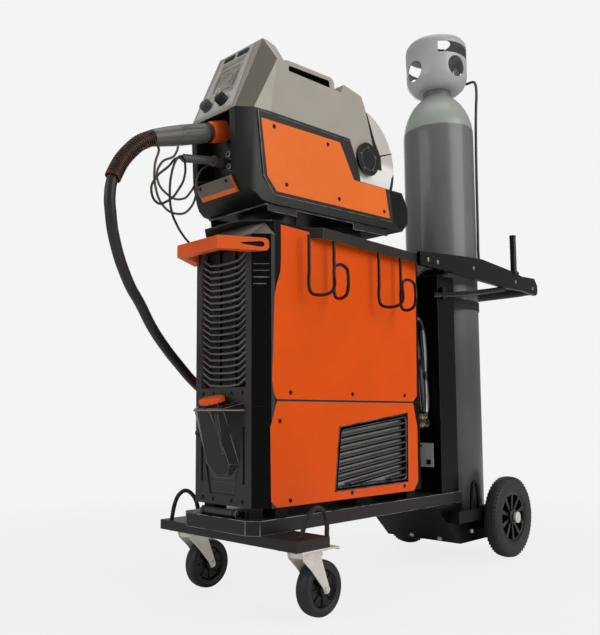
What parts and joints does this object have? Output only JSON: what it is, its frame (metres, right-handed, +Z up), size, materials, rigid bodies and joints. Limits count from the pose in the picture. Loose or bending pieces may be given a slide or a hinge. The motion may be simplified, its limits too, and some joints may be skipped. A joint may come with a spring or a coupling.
{
  "type": "welding machine on cart",
  "caption": "Wire-feed welding set on a wheeled cart: power source over a cooler unit, hinged-lid wire feeder on top, coiled gun cable, gas cylinder on a rear platform.",
  "frame": {"origin": "on the ground, under the middle of the length and width of the cart without its free cables", "axes": "+X to the right of someone who faces the machine's front looking along +Y, +Y from the front mask to the gas cylinder, +Z up"},
  "size_m": [0.475, 1.6854, 1.733],
  "materials": {
    "frame_paint": "satin",
    "black_paint": "satin",
    "zinc": "satin",
    "caster_rubber": "matte",
    "tyre_rubber": "matte",
    "case_paint": "satin",
    "mask_plastic": "matte",
    "tank_plastic": "glossy",
    "orange_plastic": "satin",
    "orange_paint": "satin",
    "black_plastic": "matte",
    "bare_metal": "satin",
    "fitting_metal": "satin",
    "feeder_plastic": "satin",
    "lid_plastic": "matte",
    "dome_plastic": "glossy",
    "panel_metal": "satin",
    "knob_plastic": "matte",
    "wire_metal": "satin",
    "plug_plastic": "satin",
    "spring_steel": "satin",
    "hose_rubber": "matte",
    "cylinder_paint": "satin",
    "strap_web": "matte",
    "valve_brass": "satin",
    "guard_paint": "satin",
    "gas_rubber": "matte"
  },
  "bodies": {
    "root": {"front_beam": "frame_paint", "base_tray": "frame_paint", "rear_platform": "frame_paint", "cylinder_column": "frame_paint", "top_rails": "frame_paint", "cable_hooks": "black_paint", "push_handle": "black_paint", "frame_hardware": "zinc", "cooler_case": "case_paint", "cooler_mask": "mask_plastic", "coolant_tank": "tank_plastic", "cooler_panels": "orange_paint", "cooler_grilles": "black_plastic", "cooler_core": "bare_metal", "rear_fittings": "fitting_metal", "power_case": "case_paint", "power_mask": "mask_plastic", "power_handle": "orange_plastic", "power_panels": "orange_paint", "feeder_cradle": "frame_paint", "feeder_base": "feeder_plastic", "feeder_panels": "orange_paint", "spool_dome": "dome_plastic", "drive_unit": "bare_metal", "gun_plug": "plug_plastic", "gun_spring": "spring_steel", "gun_hose": "hose_rubber", "gun_coil": "hose_rubber", "gun_body": "plug_plastic", "control_cable": "hose_rubber", "sense_cable": "hose_rubber", "gas_cylinder": "cylinder_paint", "cylinder_strap": "strap_web", "cylinder_valve": "valve_brass", "valve_guard": "guard_paint", "gas_hose": "gas_rubber"},
    "swivel_left": {"caster_fork_left": "zinc"},
    "swivel_right": {"caster_fork_right": "zinc"},
    "roller_left": {"caster_wheel_left": "caster_rubber"},
    "roller_right": {"caster_wheel_right": "caster_rubber"},
    "brake": {"brake_pedal": "zinc"},
    "wheel_left": {"rear_wheel_left": "tyre_rubber"},
    "wheel_right": {"rear_wheel_right": "tyre_rubber"},
    "cap": {"filler_cap": "orange_plastic"},
    "cool_rotor": {"cooler_fan": "black_plastic"},
    "power_rotor": {"power_fan": "black_plastic"},
    "switch": {"power_switch": "black_plastic"},
    "lid": {"feeder_lid": "lid_plastic", "control_panel": "panel_metal"},
    "dial_left": {"knob_left": "knob_plastic"},
    "dial_right": {"knob_right": "black_plastic"},
    "button_left": {"key_left": "black_plastic"},
    "button_right": {"key_right": "black_plastic"},
    "spool": {"wire_spool": "wire_metal"},
    "roll": {"drive_roll": "bare_metal"},
    "arm": {"pressure_arm": "orange_plastic"},
    "idler": {"idler_roll": "bare_metal"},
    "collar": {"gun_collar": "orange_plastic"},
    "trigger": {"gun_trigger": "orange_plastic"},
    "valve_wheel": {"valve_handwheel": "black_plastic"}
  },
  "joints": [
    {"name": "caster_swivel_left", "type": "hinge", "parent": "root", "child": "swivel_left", "pos_m": [-0.1945, -0.5715, 0.145], "axis": [0, 0, 1], "continuous": true},
    {"name": "caster_swivel_right", "type": "hinge", "parent": "root", "child": "swivel_right", "pos_m": [0.1945, -0.5715, 0.145], "axis": [0, 0, 1], "continuous": true},
    {"name": "caster_roll_left", "type": "hinge", "parent": "swivel_left", "child": "roller_left", "pos_m": [-0.1945, -0.5185, 0.0625], "axis": [1, 0, 0], "continuous": true},
    {"name": "caster_roll_right", "type": "hinge", "parent": "swivel_right", "child": "roller_right", "pos_m": [0.1945, -0.5185, 0.0625], "axis": [1, 0, 0], "continuous": true},
    {"name": "brake_press", "type": "hinge", "parent": "swivel_right", "child": "brake", "pos_m": [0.1945, -0.5365, 0.143], "axis": [-1, 0, 0], "range_deg": [0, 12]},
    {"name": "rear_roll_left", "type": "hinge", "parent": "root", "child": "wheel_left", "pos_m": [-0.1835, 0.4055, 0.125], "axis": [1, 0, 0], "continuous": true},
    {"name": "rear_roll_right", "type": "hinge", "parent": "root", "child": "wheel_right", "pos_m": [0.1835, 0.4055, 0.125], "axis": [1, 0, 0], "continuous": true},
    {"name": "cap_turn", "type": "hinge", "parent": "root", "child": "cap", "pos_m": [0, -0.6665, 0.471], "axis": [0, -0.2419, 0.9703], "range_deg": [0, 120]},
    {"name": "cooler_fan_spin", "type": "hinge", "parent": "root", "child": "cool_rotor", "pos_m": [0.067, -0.2245, 0.35], "axis": [1, 0, 0], "continuous": true},
    {"name": "power_fan_spin", "type": "hinge", "parent": "root", "child": "power_rotor", "pos_m": [0, -0.0205, 0.6], "axis": [0, 1, 0], "continuous": true},
    {"name": "switch_turn", "type": "hinge", "parent": "root", "child": "switch", "pos_m": [-0.06, 0.0055, 0.8], "axis": [0, 1, 0], "range_deg": [0, 90]},
    {"name": "lid_hinge", "type": "hinge", "parent": "root", "child": "lid", "pos_m": [0, -0.21009, 1.14905], "axis": [-1, 0, 0], "range_deg": [0, 65]},
    {"name": "knob_turn_left", "type": "hinge", "parent": "lid", "child": "dial_left", "pos_m": [-0.028, -0.66714, 1.20409], "axis": [0, -0.9098, 0.415], "continuous": true},
    {"name": "knob_turn_right", "type": "hinge", "parent": "lid", "child": "dial_right", "pos_m": [0.028, -0.66714, 1.20409], "axis": [0, -0.9098, 0.415], "continuous": true},
    {"name": "key_press_left", "type": "slide", "parent": "lid", "child": "button_left", "axis": [0, 0.9098, -0.415], "range_m": [0, 0.0015], "stiffness_N_per_m": 600, "springref_m": -0.001},
    {"name": "key_press_right", "type": "slide", "parent": "lid", "child": "button_right", "axis": [0, 0.9098, -0.415], "range_m": [0, 0.0015], "stiffness_N_per_m": 600, "springref_m": -0.001},
    {"name": "spool_spin", "type": "hinge", "parent": "root", "child": "spool", "pos_m": [0, -0.21009, 1.14905], "axis": [1, 0, 0], "continuous": true},
    {"name": "drive_roll_spin", "type": "hinge", "parent": "root", "child": "roll", "pos_m": [0, -0.53113, 1.16266], "axis": [1, 0, 0], "continuous": true},
    {"name": "arm_lift", "type": "hinge", "parent": "root", "child": "arm", "pos_m": [-0.0115, -0.49887, 1.20935], "axis": [-1, 0, 0], "range_deg": [0, 45]},
    {"name": "idler_spin", "type": "hinge", "parent": "arm", "child": "idler", "pos_m": [0, -0.5421, 1.19315], "axis": [1, 0, 0], "continuous": true},
    {"name": "collar_turn", "type": "hinge", "parent": "root", "child": "collar", "pos_m": [0, -0.6335, 1.143], "axis": [0, -0.9409, -0.3387], "range_deg": [0, 60]},
    {"name": "trigger_pull", "type": "hinge", "parent": "root", "child": "trigger", "pos_m": [-0.185, -0.0465, 0.7423], "axis": [1, 0, 0], "range_deg": [0, 6], "stiffness_Nm_per_rad": 1, "springref_deg": -3.44},
    {"name": "valve_turn", "type": "hinge", "parent": "root", "child": "valve_wheel", "pos_m": [0, 0.3455, 1.694], "axis": [0, 0, 1], "range_deg": [0, 720]}
  ],
  "couplings": [
    {"joint": "idler_spin", "follows": "drive_roll_spin", "ratio": -1}
  ]
}
